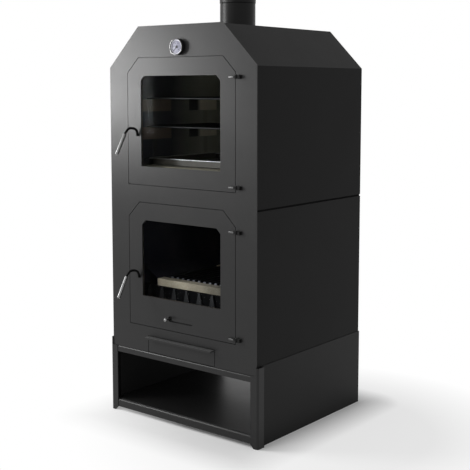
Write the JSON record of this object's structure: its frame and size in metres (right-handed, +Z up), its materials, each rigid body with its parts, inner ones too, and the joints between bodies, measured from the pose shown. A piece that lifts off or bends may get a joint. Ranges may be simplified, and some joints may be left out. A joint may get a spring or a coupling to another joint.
{
  "type": "wood cooking stove",
  "caption": "Tall free-standing wood-burning cooking stove: open log base, glass-doored firebox with ash drawer, glass-doored oven above, dial thermometer and flue collar on a clipped roof.",
  "frame": {"origin": "on the floor, under the centre of the bounding box of the whole stove with its doors shut and its handles hanging", "axes": "+Z up; +X to the right of someone facing the doors, towards the hinges; +Y from the doors to the back"},
  "size_m": [0.802, 0.8652, 1.77],
  "materials": {
    "black_paint": "satin heat-resistant black paint on sheet steel",
    "cast_iron": "bare cast iron, matte",
    "oven_steel": "bare oven steel, slightly browned by heat",
    "bare_steel": "turned or drawn bright steel",
    "chrome": "bright plated",
    "firebrick": "fine-grained fired chamotte",
    "fire_rope": "woven grey glass-fibre rope",
    "stove_glass": "clear glass ceramic, smooth",
    "dial_white": "white enamel",
    "needle_black": "matte black"
  },
  "bodies": {
    "cabinet": {"base_side_right": "black_paint", "base_side_left": "black_paint", "front_post_right": "black_paint", "front_post_left": "black_paint", "upper_front_rail": "black_paint", "lower_front_rail": "black_paint", "base_shelf": "black_paint", "base_back_panel": "black_paint", "front_plate": "black_paint", "firebox_casing": "black_paint", "oven_casing": "black_paint", "oven_rear_panel": "black_paint", "divider_plate": "black_paint", "ash_pit_floor": "black_paint", "flue_collar": "black_paint", "upper_door_frame": "black_paint", "lower_door_frame": "black_paint", "upper_door_hinge_pin_top": "black_paint", "upper_door_hinge_pin_bottom": "black_paint", "lower_door_hinge_pin_top": "black_paint", "lower_door_hinge_pin_bottom": "black_paint", "firebox_liner_right": "cast_iron", "firebox_liner_left": "cast_iron", "firebox_liner_back": "cast_iron", "hearth_support": "cast_iron", "hearth_brick_front": "firebrick", "hearth_brick_rear": "firebrick", "fire_grate": "cast_iron", "log_guard": "oven_steel", "ash_chute": "cast_iron", "oven_box": "oven_steel", "oven_floor_stone": "firebrick", "tray_support_right": "oven_steel", "tray_support_left": "oven_steel", "baking_tray": "bare_steel", "oven_rack_lower": "chrome", "oven_rack_upper": "chrome", "thermometer_case": "black_paint", "thermometer_dial": "dial_white", "thermometer_lens": "stove_glass", "thermometer_bezel": "chrome"},
    "upper_door": {"upper_door_panel": "black_paint", "upper_door_rope_seal": "fire_rope", "upper_door_glass": "stove_glass", "upper_door_glass_retainer": "oven_steel"},
    "lower_door": {"lower_door_panel": "black_paint", "lower_door_rope_seal": "fire_rope", "lower_door_glass": "stove_glass", "lower_door_glass_retainer": "oven_steel"},
    "upper_handle": {"upper_door_handle_rod": "black_paint", "upper_door_handle_grip": "bare_steel", "upper_door_latch": "cast_iron"},
    "lower_handle": {"lower_door_handle_rod": "black_paint", "lower_door_handle_grip": "bare_steel", "lower_door_latch": "cast_iron"},
    "air_slide": {"air_slide_plate": "black_paint", "air_knob": "bare_steel"},
    "ash_drawer": {"ash_drawer_box": "black_paint", "ash_drawer_front": "black_paint"},
    "thermometer_pointer": {"thermometer_needle": "needle_black"}
  },
  "joints": [
    {"name": "upper_door_hinge", "type": "hinge", "parent": "cabinet", "child": "upper_door", "pos_m": [0.298, -0.32838, 1.225], "axis": [0, 0, 1], "range_deg": [0, 105]},
    {"name": "lower_door_hinge", "type": "hinge", "parent": "cabinet", "child": "lower_door", "pos_m": [0.298, -0.32838, 0.63], "axis": [0, 0, 1], "range_deg": [0, 105]},
    {"name": "upper_handle_turn", "type": "hinge", "parent": "upper_door", "child": "upper_handle", "pos_m": [-0.23, -0.31938, 1.201], "axis": [0, 1, 0], "range_deg": [0, 80]},
    {"name": "lower_handle_turn", "type": "hinge", "parent": "lower_door", "child": "lower_handle", "pos_m": [-0.23, -0.31938, 0.606], "axis": [0, 1, 0], "range_deg": [0, 80]},
    {"name": "air_slide_travel", "type": "slide", "parent": "lower_door", "child": "air_slide", "axis": [1, 0, 0], "range_m": [0, 0.118]},
    {"name": "ash_drawer_slide", "type": "slide", "parent": "cabinet", "child": "ash_drawer", "axis": [0, -1, 0], "range_m": [0, 0.33]},
    {"name": "thermometer_needle_turn", "type": "hinge", "parent": "cabinet", "child": "thermometer_pointer", "pos_m": [0, -0.33338, 1.556], "axis": [0, 1, 0], "range_deg": [0, 270]}
  ]
}
